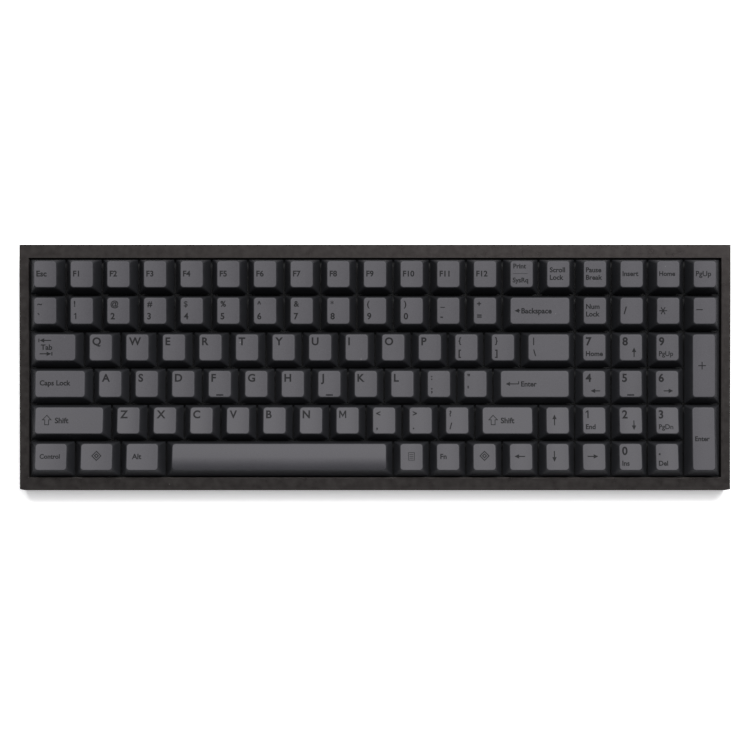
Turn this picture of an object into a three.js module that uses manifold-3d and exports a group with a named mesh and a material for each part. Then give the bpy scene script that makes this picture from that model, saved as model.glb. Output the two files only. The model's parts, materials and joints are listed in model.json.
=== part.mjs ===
// A full-size mechanical keyboard. A wedge-shaped aluminium case holds a switch plate and a circuit
// board parallel to its sloping top, and a hundred keys travel straight down into their switches.
// Millimetres: +X right, +Y away from the typist, +Z up, with the rubber feet standing on z = 0.
import * as THREE from "three";
import { mergeVertices } from "three/addons/utils/BufferGeometryUtils.js";
import Module from "manifold-3d";

const wasm = await Module();
wasm.setup();

// ---- Driving dimensions ----
const UNIT = 19.05; // the key pitch
const COLUMNS = 19; // the key field's width, in units
const LINES = 6; // and its depth
const TYPING_ANGLE = THREE.MathUtils.degToRad(6);
const TRAVEL = 4; // of every key, straight into the plate
const GAP = 0.3; // between two separate pieces that lie against each other

const MARGIN = { side: 0.75, end: 0.5 }; // from the key field to the rim of the frame's opening
const BEZEL = { side: 4.775, front: 6.1, back: 7 }; // the frame's bars, seen from above
const FRAME_THICKNESS = 6.4;
const FLOOR = 2.2;
const UNDER_BOARD = 1.42; // free height under the board's front edge

const PLATE = { thickness: 1.5, overlap: 1.2 }; // the overlap lies under the frame
const BOARD = { thickness: 1.6, inset: 1.5 }; // the inset is from the key field's edge

const KEY_GAP = 0.9; // between the skirts of two keys
const KEY_WALL = 1.3;
const KEY_ROOF = 1.5;
const KEY_TAPER = { side: 3.15, end: 2.1 }; // from the base's edge in to the top's
const KEY_TOP_SHIFT = 1.6; // the top face lies this much towards the back
const KEY_CORNER = { skirt: 0.6, top: 1.7 };
const SKIRT_HEIGHT = 6.4; // above the plate's top face
const DISH = 0.65; // the hollow along the middle of a key's top
const RIB = { reach: 0.8, width: 3, height: 1.2 }; // joins two keys of one bank

const HOUSING = { width: 13.6, lip: 0.5, floor: 1.7, sheet: 0.8 }; // the lip rests on the plate
const CROWN = { side: 1.7, end: 1.6, clearance: 0.35 }; // the housing's top, around the slider's well
const SLIDER = { width: 5.6, depth: 5, bottom: 2, clearance: 0.3, spare: 1 }; // spare at full travel

const SOCKET = { width: 9, height: 3.3, depth: 7.6, rim: 0.4, mouth: 6, nose: 0.6 };
const TONGUE = { width: 6.6, height: 0.7, inset: 0.6 };
const PLUG_RECESS = { side: 2, end: 2.35 }; // the room around the socket

const FOOT = { length: 300, width: 9, height: 2.7, recess: 1, inset: 12 };
const SCREW = { shaft: 1, head: 1.6, headHeight: 1.3, sink: 1.6, clearance: 0.15, cover: 1.9, x: 150 };
const HEX = { radius: 0.75, depth: 0.7 }; // the hollow in a screw's head

// The height and the backward tilt, in degrees, of the key tops in each row, from the back row forward.
const ROW_PROFILES = [
  { top: 9.8, tilt: 0 },
  { top: 9.8, tilt: 0 },
  { top: 7.45, tilt: 2.5 },
  { top: 6.55, tilt: 5 },
  { top: 7.35, tilt: 11.5 },
  { top: 7.35, tilt: 11.5 },
];

// Each row's keys from the left, as name:width or name:widthxheight in units where they aren't 1.
const ROWS = [
  "esc f1 f2 f3 f4 f5 f6 f7 f8 f9 f10 f11 f12 print_screen scroll_lock pause insert home page_up",
  "grave 1 2 3 4 5 6 7 8 9 0 minus equals backspace:2 num_lock divide multiply subtract",
  "tab:1.5 q w e r t y u i o p left_bracket right_bracket backslash:1.5 num_7 num_8 num_9 add:1x2",
  "caps_lock:1.75 a s d f g h j k l semicolon quote enter:2.25 num_4 num_5 num_6",
  "left_shift:2.25 z x c v b n m comma period slash right_shift:1.75 up num_1 num_2 num_3 num_enter:1x2",
  "left_control:1.25 left_super:1.25 left_alt:1.25 space:6.25 menu fn right_super left down right " +
    "num_0 num_delete",
];
const FLAT_TOPPED = "space"; // the one key without a dish

// The keys that share one moving body, because a body for each of the hundred is too many.
const BANKS = {
  keys_function_row:
    "f1 f2 f3 f4 f5 f6 f7 f8 f9 f10 f11 f12 print_screen scroll_lock pause insert home page_up",
  keys_number_row: "grave 1 2 3 4 5 6 7 8 9 0 minus equals",
  keys_punctuation: "left_bracket right_bracket backslash semicolon quote comma period slash",
  keys_numpad:
    "num_lock divide multiply subtract num_7 num_8 num_9 add num_4 num_5 num_6 " +
    "num_1 num_2 num_3 num_enter num_0 num_delete",
};

// ---- Sizes that follow ----
const FIELD = { width: COLUMNS * UNIT, depth: LINES * UNIT };
const OPENING = { width: FIELD.width + 2 * MARGIN.side, depth: FIELD.depth + 2 * MARGIN.end };
const CASE_WIDTH = OPENING.width + 2 * BEZEL.side;
const CASE_DEPTH = OPENING.depth + BEZEL.front + BEZEL.back; // along the slope
const FIELD_Y = (BEZEL.front - BEZEL.back) / 2; // the field's middle, from the middle of the case
const RUN = CASE_DEPTH * Math.cos(TYPING_ANGLE); // the case's depth on the table
const RISE = CASE_DEPTH * Math.sin(TYPING_ANGLE);

// Levels in the deck's own frame, whose z = 0 is the case's sloping top face.
const PLATE_TOP = -FRAME_THICKNESS - GAP;
const PLATE_BOTTOM = PLATE_TOP - PLATE.thickness;
const SKIRT_LEVEL = PLATE_TOP + SKIRT_HEIGHT;
const SLIDER_WELL = PLATE_TOP + SLIDER.bottom - TRAVEL - SLIDER.spare; // the bottom of its well
const HOUSING_BOTTOM = SLIDER_WELL - HOUSING.floor;
const BOARD_TOP = HOUSING_BOTTOM - GAP;
const BOARD_BOTTOM = BOARD_TOP - BOARD.thickness;
const SOCKET_LEVEL = BOARD_BOTTOM - GAP - SOCKET.height / 2;

// The housings stand as high as the lowest of the keys' ceilings lets them at full travel.
const wellSize = { width: SLIDER.width + 2 * SLIDER.clearance, depth: SLIDER.depth + 2 * SLIDER.clearance };
const crownSize = { width: wellSize.width + 2 * CROWN.side, depth: wellSize.depth + 2 * CROWN.end };
const slopeOf = (degrees) => Math.tan(THREE.MathUtils.degToRad(degrees));
const ceilings = ROW_PROFILES.map(
  ({ top, tilt }) => top - DISH - KEY_ROOF - (crownSize.depth / 2 - KEY_TOP_SHIFT) * slopeOf(tilt),
);
const CROWN_LEVEL = SKIRT_LEVEL + Math.min(...ceilings) - TRAVEL - CROWN.clearance;

// Heights above the table, at the case's front wall.
const BASE_Z = FOOT.height - FOOT.recess + GAP;
const BOARD_SETBACK = BEZEL.front + MARGIN.end + BOARD.inset;
const STACK = -BOARD_BOTTOM * Math.cos(TYPING_ANGLE) - BOARD_SETBACK * Math.sin(TYPING_ANGLE);
const FRONT_Z = BASE_Z + FLOOR + UNDER_BOARD + STACK; // the front wall's top edge
const belowTop = (depth) => FRONT_Z - depth / Math.cos(TYPING_ANGLE);

const THROUGH = 2 * (FRONT_Z + RISE); // long enough for a cut to pass right through the case

// ---- Solids ----
function solid(geometry) {
  const bare = geometry.clone();
  bare.deleteAttribute("normal");
  bare.deleteAttribute("uv");
  const merged = mergeVertices(bare, 1e-4);
  const vertProperties = merged.attributes.position.array;
  const triVerts = new Uint32Array(merged.index.array);
  return new wasm.Manifold(new wasm.Mesh({ numProp: 3, vertProperties, triVerts }));
}

function surface(body) {
  const { vertProperties, triVerts } = body.getMesh();
  const shared = new THREE.BufferGeometry();
  shared.setAttribute("position", new THREE.BufferAttribute(vertProperties, 3));
  shared.setIndex(new THREE.BufferAttribute(triVerts, 1));
  const geometry = shared.toNonIndexed(); // flat faces: each triangle keeps its own normal
  geometry.computeVertexNormals();
  return geometry;
}

const union = (bodies) => wasm.Manifold.union(bodies);

// A box about the point x, y, z.
function box(width, depth, height, x, y, z) {
  return new THREE.BoxGeometry(width, depth, height).translate(x, y, z);
}

// An upright cylinder between two heights.
function rod(radius, bottom, top, x, y, sides = 12) {
  const upright = new THREE.CylinderGeometry(radius, radius, top - bottom, sides).rotateX(Math.PI / 2);
  return upright.translate(x, y, (bottom + top) / 2);
}

// A closed skin through rings with equal numbers of points, listed from the bottom up and anticlockwise.
function loft(rings) {
  const count = rings[0].length;
  const last = rings.length - 1;
  const index = [];
  for (let r = 0; r < last; r++) {
    for (let i = 0; i < count; i++) {
      const a = r * count + i;
      const b = r * count + ((i + 1) % count);
      index.push(a, b, b + count, a, b + count, a + count);
    }
  }
  const lid = (ring) => THREE.ShapeUtils.triangulateShape(ring.map((p) => new THREE.Vector2(p.x, p.y)), []);
  for (const [a, b, c] of lid(rings[0])) index.push(a, c, b);
  for (const corners of lid(rings[last])) index.push(...corners.map((i) => last * count + i));
  const geometry = new THREE.BufferGeometry().setFromPoints(rings.flat());
  geometry.setIndex(index);
  return geometry;
}

// A rectangle about x, y as a ring of four points, at the heights that level(y) gives.
function rectangle(width, depth, x, y, level) {
  const corners = [[-1, -1], [1, -1], [1, 1], [-1, 1]];
  return corners.map(([i, j]) => {
    const py = y + (j * depth) / 2;
    return new THREE.Vector3(x + (i * width) / 2, py, level(py));
  });
}

// ---- The assembly ----
const keyboard = new THREE.Group();
const deck = new THREE.Group(); // everything that is parallel to the case's sloping top
deck.rotation.x = TYPING_ANGLE;
deck.position.z = FRONT_Z + RISE / 2;
deck.updateMatrix();
keyboard.add(deck);

const look = (color, roughness, metalness) =>
  new THREE.MeshStandardMaterial({ color, roughness, metalness });
const ANODISED = look(0x454240, 0.6, 0.5);
const BLACK_STEEL = look(0x2a2a2c, 0.5, 0.6);
const LAMINATE = look(0x16231c, 0.5, 0);
const HOUSING_PLASTIC = look(0x1b1b1d, 0.5, 0);
const KEY_PLASTIC = look(0x55555a, 0.75, 0);
const RUBBER = look(0x141414, 0.95, 0);
const SCREW_STEEL = look(0x35353a, 0.35, 1);
const PLATED_STEEL = look(0x9a9a9e, 0.3, 1);

function place(parent, name, geometry, material, x = 0, y = 0, z = 0) {
  const mesh = new THREE.Mesh(geometry, material);
  mesh.name = name;
  mesh.position.set(x, y, z);
  parent.add(mesh);
}

// A solid drawn in the deck's frame, turned to where it lies in the case.
const onDeck = (geometry) => solid(geometry.applyMatrix4(deck.matrix));

// ---- The keys ----
const columnX = (column) => (column - COLUMNS / 2) * UNIT;
const lineY = (line) => FIELD_Y + (LINES / 2 - line) * UNIT;

function layKeys() {
  const keys = [];
  ROWS.forEach((words, row) => {
    let left = 0;
    for (const word of words.split(" ")) {
      const [name, size = "1"] = word.split(":");
      const [width, height = 1] = size.split("x").map(Number);
      const column = left + width / 2;
      const line = row + height / 2;
      keys.push({ name, row, width, height, column, line, x: columnX(column), y: lineY(line) });
      left += width;
    }
  });
  return keys;
}

// A key's outline about y: a rectangle with cut corners and a point midway along its front and back.
function keyRing(width, depth, corner, y, level) {
  const w = width / 2;
  const d = depth / 2;
  const right = [[0, -d], [w - corner, -d], [w, corner - d], [w, d - corner], [w - corner, d]];
  const left = right.map(([px, py]) => [-px, -py]);
  return [...right, ...left].map(([px, py]) => new THREE.Vector3(px, y + py, level(px, y + py)));
}

// One key with its skirt on z = 0: a hollow cap with a dished, tilted top, and the switch's slider.
function keyBody({ name, row, width, height }) {
  const { top, tilt } = ROW_PROFILES[row];
  const slope = slopeOf(tilt / height);
  const base = { width: width * UNIT - KEY_GAP, depth: height * UNIT - KEY_GAP };
  const topLevel = (y) => top - (y - KEY_TOP_SHIFT) * slope;
  const dish = name === FLAT_TOPPED ? 0 : DISH;
  const topWidth = base.width - 2 * KEY_TAPER.side;
  const topDepth = base.depth - 2 * KEY_TAPER.end;
  const dished = (x, y) => topLevel(y) - (x === 0 ? dish : 0);
  const outside = loft([
    keyRing(base.width, base.depth, KEY_CORNER.skirt, 0, () => 0),
    keyRing(topWidth, topDepth, KEY_CORNER.top, KEY_TOP_SHIFT, dished),
  ]);
  const ceiling = (y) => topLevel(y) - DISH - KEY_ROOF;
  const climbed = ceiling(0) / top; // how much of the walls' slope lies below the ceiling
  const hollowWidth = base.width - 2 * KEY_WALL;
  const hollowDepth = base.depth - 2 * KEY_WALL;
  const roofWidth = hollowWidth - 2 * KEY_TAPER.side * climbed;
  const roofDepth = hollowDepth - 2 * KEY_TAPER.end * climbed;
  const hollow = loft([
    rectangle(hollowWidth, hollowDepth, 0, 0, () => 0),
    rectangle(roofWidth, roofDepth, 0, KEY_TOP_SHIFT * climbed, ceiling),
  ]);
  const sliderBottom = SLIDER.bottom - SKIRT_HEIGHT;
  const sliderTop = ceiling(0) + KEY_ROOF / 2;
  const sliderMiddle = (sliderBottom + sliderTop) / 2;
  const slider = box(SLIDER.width, SLIDER.depth, sliderTop - sliderBottom, 0, 0, sliderMiddle);
  return solid(outside).subtract(solid(hollow)).add(solid(slider));
}

// The stretch that two keys' cells share along one direction. Its length is 0 where they only touch.
function sharedStretch(a, b, middle, size) {
  const start = Math.max(a[middle] - a[size] / 2, b[middle] - b[size] / 2);
  const end = Math.min(a[middle] + a[size] / 2, b[middle] + b[size] / 2);
  return { length: end - start, middle: (start + end) / 2 };
}

// The ribs that span the gaps between the neighbours of a bank, low between their skirts.
function ribs(members) {
  const span = KEY_GAP + 2 * RIB.reach;
  const pairs = members.flatMap((a, i) => members.slice(i + 1).map((b) => [a, b]));
  return pairs.flatMap(([a, b]) => {
    const across = sharedStretch(a, b, "column", "width");
    const along = sharedStretch(a, b, "line", "height");
    const sideBySide = across.length === 0 && along.length >= 1;
    const oneBehind = along.length === 0 && across.length >= 0.5;
    if (!sideBySide && !oneBehind) return [];
    const [width, depth] = sideBySide ? [span, RIB.width] : [RIB.width, span];
    const rib = box(width, depth, RIB.height, columnX(across.middle), lineY(along.middle), RIB.height / 2);
    return [solid(rib)];
  });
}

const keys = layKeys();
const banked = new Set();
for (const [name, list] of Object.entries(BANKS)) {
  const members = list.split(" ").map((word) => keys.find((key) => key.name === word));
  const bodies = members.map((key) => keyBody(key).translate(key.x, key.y, 0));
  place(deck, name, surface(union([...bodies, ...ribs(members)])), KEY_PLASTIC, 0, 0, SKIRT_LEVEL);
  members.forEach((key) => banked.add(key));
}
for (const key of keys.filter((each) => !banked.has(each))) {
  place(deck, `key_${key.name}`, surface(keyBody(key)), KEY_PLASTIC, key.x, key.y, SKIRT_LEVEL);
}

// ---- The plate, the switches' housings and the circuit board ----
const plateMiddle = (PLATE_TOP + PLATE_BOTTOM) / 2;
const plateWidth = OPENING.width + 2 * PLATE.overlap;
const plateDepth = OPENING.depth + 2 * PLATE.overlap;
const blank = solid(box(plateWidth, plateDepth, PLATE.thickness, 0, FIELD_Y, plateMiddle));
const plateHole = HOUSING.width + 2 * GAP;
const punch = ({ x, y }) => solid(box(plateHole, plateHole, 2 * PLATE.thickness, x, y, plateMiddle));
place(deck, "switch_plate", surface(blank.subtract(union(keys.map(punch)))), BLACK_STEEL);

// One switch's housing, up from the sheet through the plate's hole, and open where its slider runs.
function housingBody({ x, y }) {
  const square = (size, z) => rectangle(size, size, x, y, () => z);
  const skin = loft([
    square(HOUSING.width, HOUSING_BOTTOM + HOUSING.sheet / 2),
    square(HOUSING.width, PLATE_TOP + GAP),
    square(plateHole + 2 * HOUSING.lip, PLATE_TOP + GAP),
    rectangle(crownSize.width, crownSize.depth, x, y, () => CROWN_LEVEL),
  ]);
  const wellTop = CROWN_LEVEL + 1;
  const wellMiddle = (wellTop + SLIDER_WELL) / 2;
  const well = box(wellSize.width, wellSize.depth, wellTop - SLIDER_WELL, x, y, wellMiddle);
  return solid(skin).subtract(solid(well));
}

const boardWidth = FIELD.width - 2 * BOARD.inset;
const boardDepth = FIELD.depth - 2 * BOARD.inset;
const sheetMiddle = HOUSING_BOTTOM + HOUSING.sheet / 2;
const sheet = solid(box(boardWidth, boardDepth, HOUSING.sheet, 0, FIELD_Y, sheetMiddle));
place(deck, "switch_housings", surface(union([sheet, ...keys.map(housingBody)])), HOUSING_PLASTIC);

const boardMiddle = (BOARD_TOP + BOARD_BOTTOM) / 2;
const board = box(boardWidth, boardDepth, BOARD.thickness, 0, FIELD_Y, boardMiddle);
place(deck, "circuit_board", board, LAMINATE);

// ---- The cable socket, under the board's back edge, facing out through the case's back wall ----
const openingBack = FIELD_Y + OPENING.depth / 2;
const socketFace = openingBack + SOCKET.nose;

// A box whose outer end is set back from the socket's face.
function inSocket(width, length, height, setback) {
  return solid(box(width, length, height, 0, socketFace - setback - length / 2, SOCKET_LEVEL));
}

const shell = inSocket(SOCKET.width, SOCKET.depth, SOCKET.height, 0);
const mouth = inSocket(SOCKET.width - 2 * SOCKET.rim, SOCKET.mouth + 1, SOCKET.height - 2 * SOCKET.rim, -1);
const tongue = inSocket(TONGUE.width, SOCKET.mouth, TONGUE.height, TONGUE.inset);
place(deck, "cable_socket", surface(shell.subtract(mouth).add(tongue)), PLATED_STEEL);

// ---- The case ----
// The case's side view as a prism across its whole width. The top edge slopes, and so may the bottom.
function wedge(frontTop, frontBottom, backBottom) {
  const profile = new THREE.Shape([
    new THREE.Vector2(-RUN / 2, frontBottom),
    new THREE.Vector2(RUN / 2, backBottom),
    new THREE.Vector2(RUN / 2, frontTop + RISE),
    new THREE.Vector2(-RUN / 2, frontTop),
  ]);
  const prism = new THREE.ExtrudeGeometry(profile, { depth: CASE_WIDTH, bevelEnabled: false });
  const axes = [new THREE.Vector3(0, 1, 0), new THREE.Vector3(0, 0, 1), new THREE.Vector3(1, 0, 0)];
  const acrossX = new THREE.Matrix4().makeBasis(...axes);
  return solid(prism.applyMatrix4(acrossX).translate(-CASE_WIDTH / 2, 0, 0));
}

// The height of the frame's underside above a point of the table.
const seamAt = (y) => belowTop(FRAME_THICKNESS) + ((y + RUN / 2) / RUN) * RISE;

// The plate's bed in the base, and where it ends at the front or the back, seen from above.
const bedWidth = plateWidth + 2 * GAP;
const bedDepth = plateDepth + 2 * GAP;
const bedEnd = (side) =>
  new THREE.Vector3(0, FIELD_Y + (side * bedDepth) / 2, PLATE_TOP).applyMatrix4(deck.matrix).y;

// Each screw stands in the middle of the wall between the case's face and the plate's bed.
const screwY = (side) => (side * (RUN / 2) + bedEnd(side)) / 2;
const screws = [
  { name: "screw_front_left", x: -SCREW.x, y: screwY(-1) },
  { name: "screw_front_right", x: SCREW.x, y: screwY(-1) },
  { name: "screw_back_left", x: -SCREW.x, y: screwY(1) },
  { name: "screw_back_right", x: SCREW.x, y: screwY(1) },
];
const screwTip = (y) => seamAt(y) + FRAME_THICKNESS - SCREW.cover;
const screwBore = ({ x, y }) => solid(rod(SCREW.shaft + SCREW.clearance, -1, screwTip(y) + GAP, x, y));

const opening = onDeck(box(OPENING.width, OPENING.depth, THROUGH, 0, FIELD_Y, 0));
const bores = union(screws.map(screwBore));
const frameBottom = belowTop(FRAME_THICKNESS);
const frame = wedge(FRONT_Z, frameBottom, frameBottom + RISE).subtract(opening).subtract(bores);
place(keyboard, "case_frame", surface(frame), ANODISED);

// A foot is a strip with round ends, and its recess is the same strip with the gap around it.
const footSpots = [
  { name: "foot_front", y: FOOT.inset - RUN / 2 },
  { name: "foot_back", y: RUN / 2 - FOOT.inset },
];

function footStrip(y, gap, bottom, top) {
  const half = (FOOT.length - FOOT.width) / 2;
  const radius = FOOT.width / 2 + gap;
  const outline = new THREE.Shape();
  outline.absarc(half, 0, radius, -Math.PI / 2, Math.PI / 2, false);
  outline.absarc(-half, 0, radius, Math.PI / 2, (3 * Math.PI) / 2, false);
  const strip = { depth: top - bottom, bevelEnabled: false, curveSegments: 6 };
  return new THREE.ExtrudeGeometry(outline, strip).translate(0, y, bottom);
}

const bedFloor = PLATE_BOTTOM - GAP;
const bed = onDeck(box(bedWidth, bedDepth, THROUGH, 0, FIELD_Y, bedFloor + THROUGH / 2));
const wellWidth = OPENING.width - PLATE.overlap;
const wellDepth = OPENING.depth - PLATE.overlap;
const aboveFloor = solid(box(CASE_WIDTH, RUN, THROUGH, 0, 0, BASE_Z + FLOOR + THROUGH / 2));
const well = onDeck(box(wellWidth, wellDepth, THROUGH, 0, FIELD_Y, 0)).intersect(aboveFloor);
const recessLength = 2 * BEZEL.back; // from just inside the back wall to well outside it
const recessY = openingBack - 1 + recessLength / 2;
const recessWidth = SOCKET.width + 2 * PLUG_RECESS.side;
const recessHeight = SOCKET.height + 2 * PLUG_RECESS.end;
const recess = onDeck(box(recessWidth, recessLength, recessHeight, 0, recessY, SOCKET_LEVEL));
const sinks = screws.map(({ x, y }) =>
  solid(rod(SCREW.head + SCREW.clearance, -1, BASE_Z + SCREW.sink, x, y)),
);
const footBeds = footSpots.map(({ y }) => solid(footStrip(y, GAP, -1, BASE_Z + FOOT.recess)));
const seam = belowTop(FRAME_THICKNESS + GAP);
const cuts = union([bed, well, recess, bores, ...sinks, ...footBeds]);
place(keyboard, "case_base", surface(wedge(seam, BASE_Z, BASE_Z).subtract(cuts)), ANODISED);

for (const { name, y } of footSpots) {
  place(keyboard, name, footStrip(y, 0, 0, FOOT.height), RUBBER);
}

// ---- The screws, from below through the base into the frame ----
for (const { name, x, y } of screws) {
  const underHead = BASE_Z + SCREW.sink - GAP;
  const headBottom = underHead - SCREW.headHeight;
  const shaft = solid(rod(SCREW.shaft, headBottom, screwTip(y), 0, 0));
  const head = solid(rod(SCREW.head, headBottom, underHead, 0, 0));
  const key = solid(rod(HEX.radius, headBottom - 1, headBottom + HEX.depth, 0, 0, 6));
  place(keyboard, name, surface(shaft.add(head).subtract(key)), SCREW_STEEL, x, y);
}

export default keyboard;
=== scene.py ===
# %% [markdown]
# # A mechanical keyboard
# A hundred moulded key caps stand in a shallow tray with a plain aluminium frame around them. The
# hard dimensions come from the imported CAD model, which is loaded first and never moved. Everything
# here is built around it, in metres, with the rubber feet on z = 0 and the typist at -Y.

# %% Load the frame
import json
import math

import bmesh
import bpy
from mathutils import Matrix, Vector

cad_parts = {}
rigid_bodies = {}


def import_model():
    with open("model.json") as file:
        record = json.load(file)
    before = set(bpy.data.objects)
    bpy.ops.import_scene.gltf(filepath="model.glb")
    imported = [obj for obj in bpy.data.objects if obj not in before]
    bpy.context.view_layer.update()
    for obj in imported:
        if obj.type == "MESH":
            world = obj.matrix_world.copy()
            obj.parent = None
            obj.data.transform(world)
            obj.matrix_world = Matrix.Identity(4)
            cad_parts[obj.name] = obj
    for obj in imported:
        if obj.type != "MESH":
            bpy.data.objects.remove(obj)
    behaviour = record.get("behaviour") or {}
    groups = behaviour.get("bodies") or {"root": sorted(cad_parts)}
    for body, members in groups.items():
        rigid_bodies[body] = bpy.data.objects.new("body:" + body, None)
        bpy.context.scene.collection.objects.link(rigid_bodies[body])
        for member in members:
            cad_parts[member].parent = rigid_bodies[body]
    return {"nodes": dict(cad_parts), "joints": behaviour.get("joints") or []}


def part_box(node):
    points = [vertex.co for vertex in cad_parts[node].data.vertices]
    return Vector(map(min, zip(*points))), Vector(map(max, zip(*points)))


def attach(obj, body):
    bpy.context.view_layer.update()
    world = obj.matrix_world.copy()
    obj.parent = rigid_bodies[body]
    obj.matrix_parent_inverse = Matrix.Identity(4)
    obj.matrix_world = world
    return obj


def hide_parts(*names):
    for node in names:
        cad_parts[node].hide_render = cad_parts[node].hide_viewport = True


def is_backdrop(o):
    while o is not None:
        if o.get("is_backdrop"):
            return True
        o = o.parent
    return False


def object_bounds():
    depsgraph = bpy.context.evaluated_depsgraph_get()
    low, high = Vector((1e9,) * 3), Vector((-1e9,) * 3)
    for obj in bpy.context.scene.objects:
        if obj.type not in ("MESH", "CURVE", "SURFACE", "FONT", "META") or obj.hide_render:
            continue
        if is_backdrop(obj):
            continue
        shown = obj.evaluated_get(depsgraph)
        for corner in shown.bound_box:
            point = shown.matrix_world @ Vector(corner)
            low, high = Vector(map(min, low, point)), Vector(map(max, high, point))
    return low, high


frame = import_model()
cad_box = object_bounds()
scene = bpy.context.scene
MM = 0.001

# %% [markdown]
# ## The deck
# The keys don't stand upright: the whole deck slopes up towards the back, and each key travels
# square to it. The slope can be read from the direction of any key's joint, and the height from the
# frame's top edge. One matrix then carries every piece from a flat drawing to its place.

# %% The deck's place
travel = Vector(frame["joints"][0]["axis"])
slope = math.atan2(travel.y, -travel.z)
_, frame_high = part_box("case_frame")
deck_height = frame_high.z - frame_high.y * math.tan(slope)
DECK = Matrix.Translation((0, 0, deck_height)) @ Matrix.Rotation(slope, 4, "X") @ Matrix.Scale(MM, 4)
print("deck: slope", round(math.degrees(slope), 3), "degrees, middle at",
      round(deck_height / MM, 2), "mm")

# %% [markdown]
# ## The camera
# A keyboard is usually shown from straight above its keys, so that every legend can be read. A long
# lens keeps the far and near rows the same size. The camera stands almost square to the deck.

# %% Camera
VIEW_TARGET = Vector((0, -0.00418, 0.02427))
VIEW_ELEVATION = math.radians(84.7)
VIEW_DISTANCE = 1.021
LENS_LENGTH = 93.4  # millimetres, on a sensor 36 wide
towards_camera = Vector((0, -math.cos(VIEW_ELEVATION), math.sin(VIEW_ELEVATION)))
lens = bpy.data.cameras.new("camera")
lens.sensor_width = 36
lens.lens = LENS_LENGTH
lens.clip_start, lens.clip_end = 0.01, 50
camera = bpy.data.objects.new("camera", lens)
camera.location = VIEW_TARGET + VIEW_DISTANCE * towards_camera
camera.rotation_mode = "QUATERNION"
camera.rotation_quaternion = (-towards_camera).to_track_quat("-Z", "Y")
scene.collection.objects.link(camera)
scene.camera = camera
print("camera at", [round(c, 3) for c in camera.location])

# %% [markdown]
# ## The studio
# Dark plastic shows its shape only by what it reflects. One wide soft light hangs behind, almost in
# the middle, so the tops catch it and the frame's back bar is brighter than its front one. A second,
# high on the right, lights the paper and lets the walls between the caps fall into shade. The pale
# floor throws light back onto the outer slopes.

# %% Floor, lights and world
def soft_light(name, place, aim, width, depth, power):
    """A rectangular studio light at place that points at aim."""
    data = bpy.data.lights.new(name, "AREA")
    data.shape = "RECTANGLE"
    data.size, data.size_y, data.energy = width, depth, power
    light = bpy.data.objects.new(name, data)
    light.location = place
    light.rotation_mode = "QUATERNION"
    light.rotation_quaternion = (Vector(aim) - Vector(place)).to_track_quat("-Z", "Y")
    scene.collection.objects.link(light)
    return light


soft_light("back_softbox", (0.08, 0.46, 1.2), (0, 0.02, 0), 1.4, 0.32, 20.5)
overhead = soft_light("overhead", (0.34, 0.2, 1.65), (0, 0, 0), 0.7, 0.7, 14.5)
overhead.visible_glossy = False  # it lights the paper and the caps, but isn't mirrored in them

ROOM_COLOUR, ROOM_LIGHT = (0.93, 0.95, 1, 1), 0.17
world = bpy.data.worlds.new("studio")
world.use_nodes = True
world.node_tree.nodes["Background"].inputs["Color"].default_value = ROOM_COLOUR
world.node_tree.nodes["Background"].inputs["Strength"].default_value = ROOM_LIGHT
scene.world = world
scene.view_settings.view_transform = "Standard"

FLOOR_SIZE = 6
floor_bm = bmesh.new()
bmesh.ops.create_grid(floor_bm, x_segments=1, y_segments=1, size=FLOOR_SIZE / 2)
floor_mesh = bpy.data.meshes.new("floor")
floor_bm.to_mesh(floor_mesh)
floor_bm.free()
floor = bpy.data.objects.new("floor", floor_mesh)
scene.collection.objects.link(floor)
floor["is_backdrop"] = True

# %% [markdown]
# ## Effects that several finishes share
# Grain, wear and dust turn up on the plastic, the aluminium and the rubber alike, so each is one node
# group with named sockets. The rims' paler colour is partly wear and partly a painted highlight. A group
# hands out only colours and normals, and every material decides for itself how strong they are.

# %% Helpers for nodes
def put(tree, kind, sources=None, **settings):
    """Adds a node. sources maps its input names or numbers to values or to other nodes' outputs."""
    node = tree.nodes.new(kind)
    for key, value in settings.items():
        setattr(node, key, value)
    for key, value in (sources or {}).items():
        if isinstance(value, bpy.types.NodeSocket):
            tree.links.new(value, node.inputs[key])
        else:
            node.inputs[key].default_value = value
    return node


def maths(tree, operation, first, second, **settings):
    """The result of one sum, product or power of two values or sockets."""
    node = put(tree, "ShaderNodeMath", {0: first, 1: second}, operation=operation, **settings)
    return node.outputs[0]


def new_group(name, inputs, outputs):
    """An empty shader node group with its input and output nodes."""
    group = bpy.data.node_groups.new(name, "ShaderNodeTree")
    for label, kind, value in inputs:
        socket = group.interface.new_socket(label, in_out="INPUT", socket_type=kind)
        socket.default_value = value
    for label, kind in outputs:
        group.interface.new_socket(label, in_out="OUTPUT", socket_type=kind)
    start = group.nodes.new("NodeGroupInput")
    end = group.nodes.new("NodeGroupOutput")
    return group, start.outputs, end.inputs


# %% [markdown]
# ### Grain
# Moulded plastic is spark-eroded and aluminium is blasted, and both come out as a fine irregular
# pitting. Noise on object coordinates gives the bump. A second, much wider noise clouds the colour a
# little, as real batches and handling do.

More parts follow.
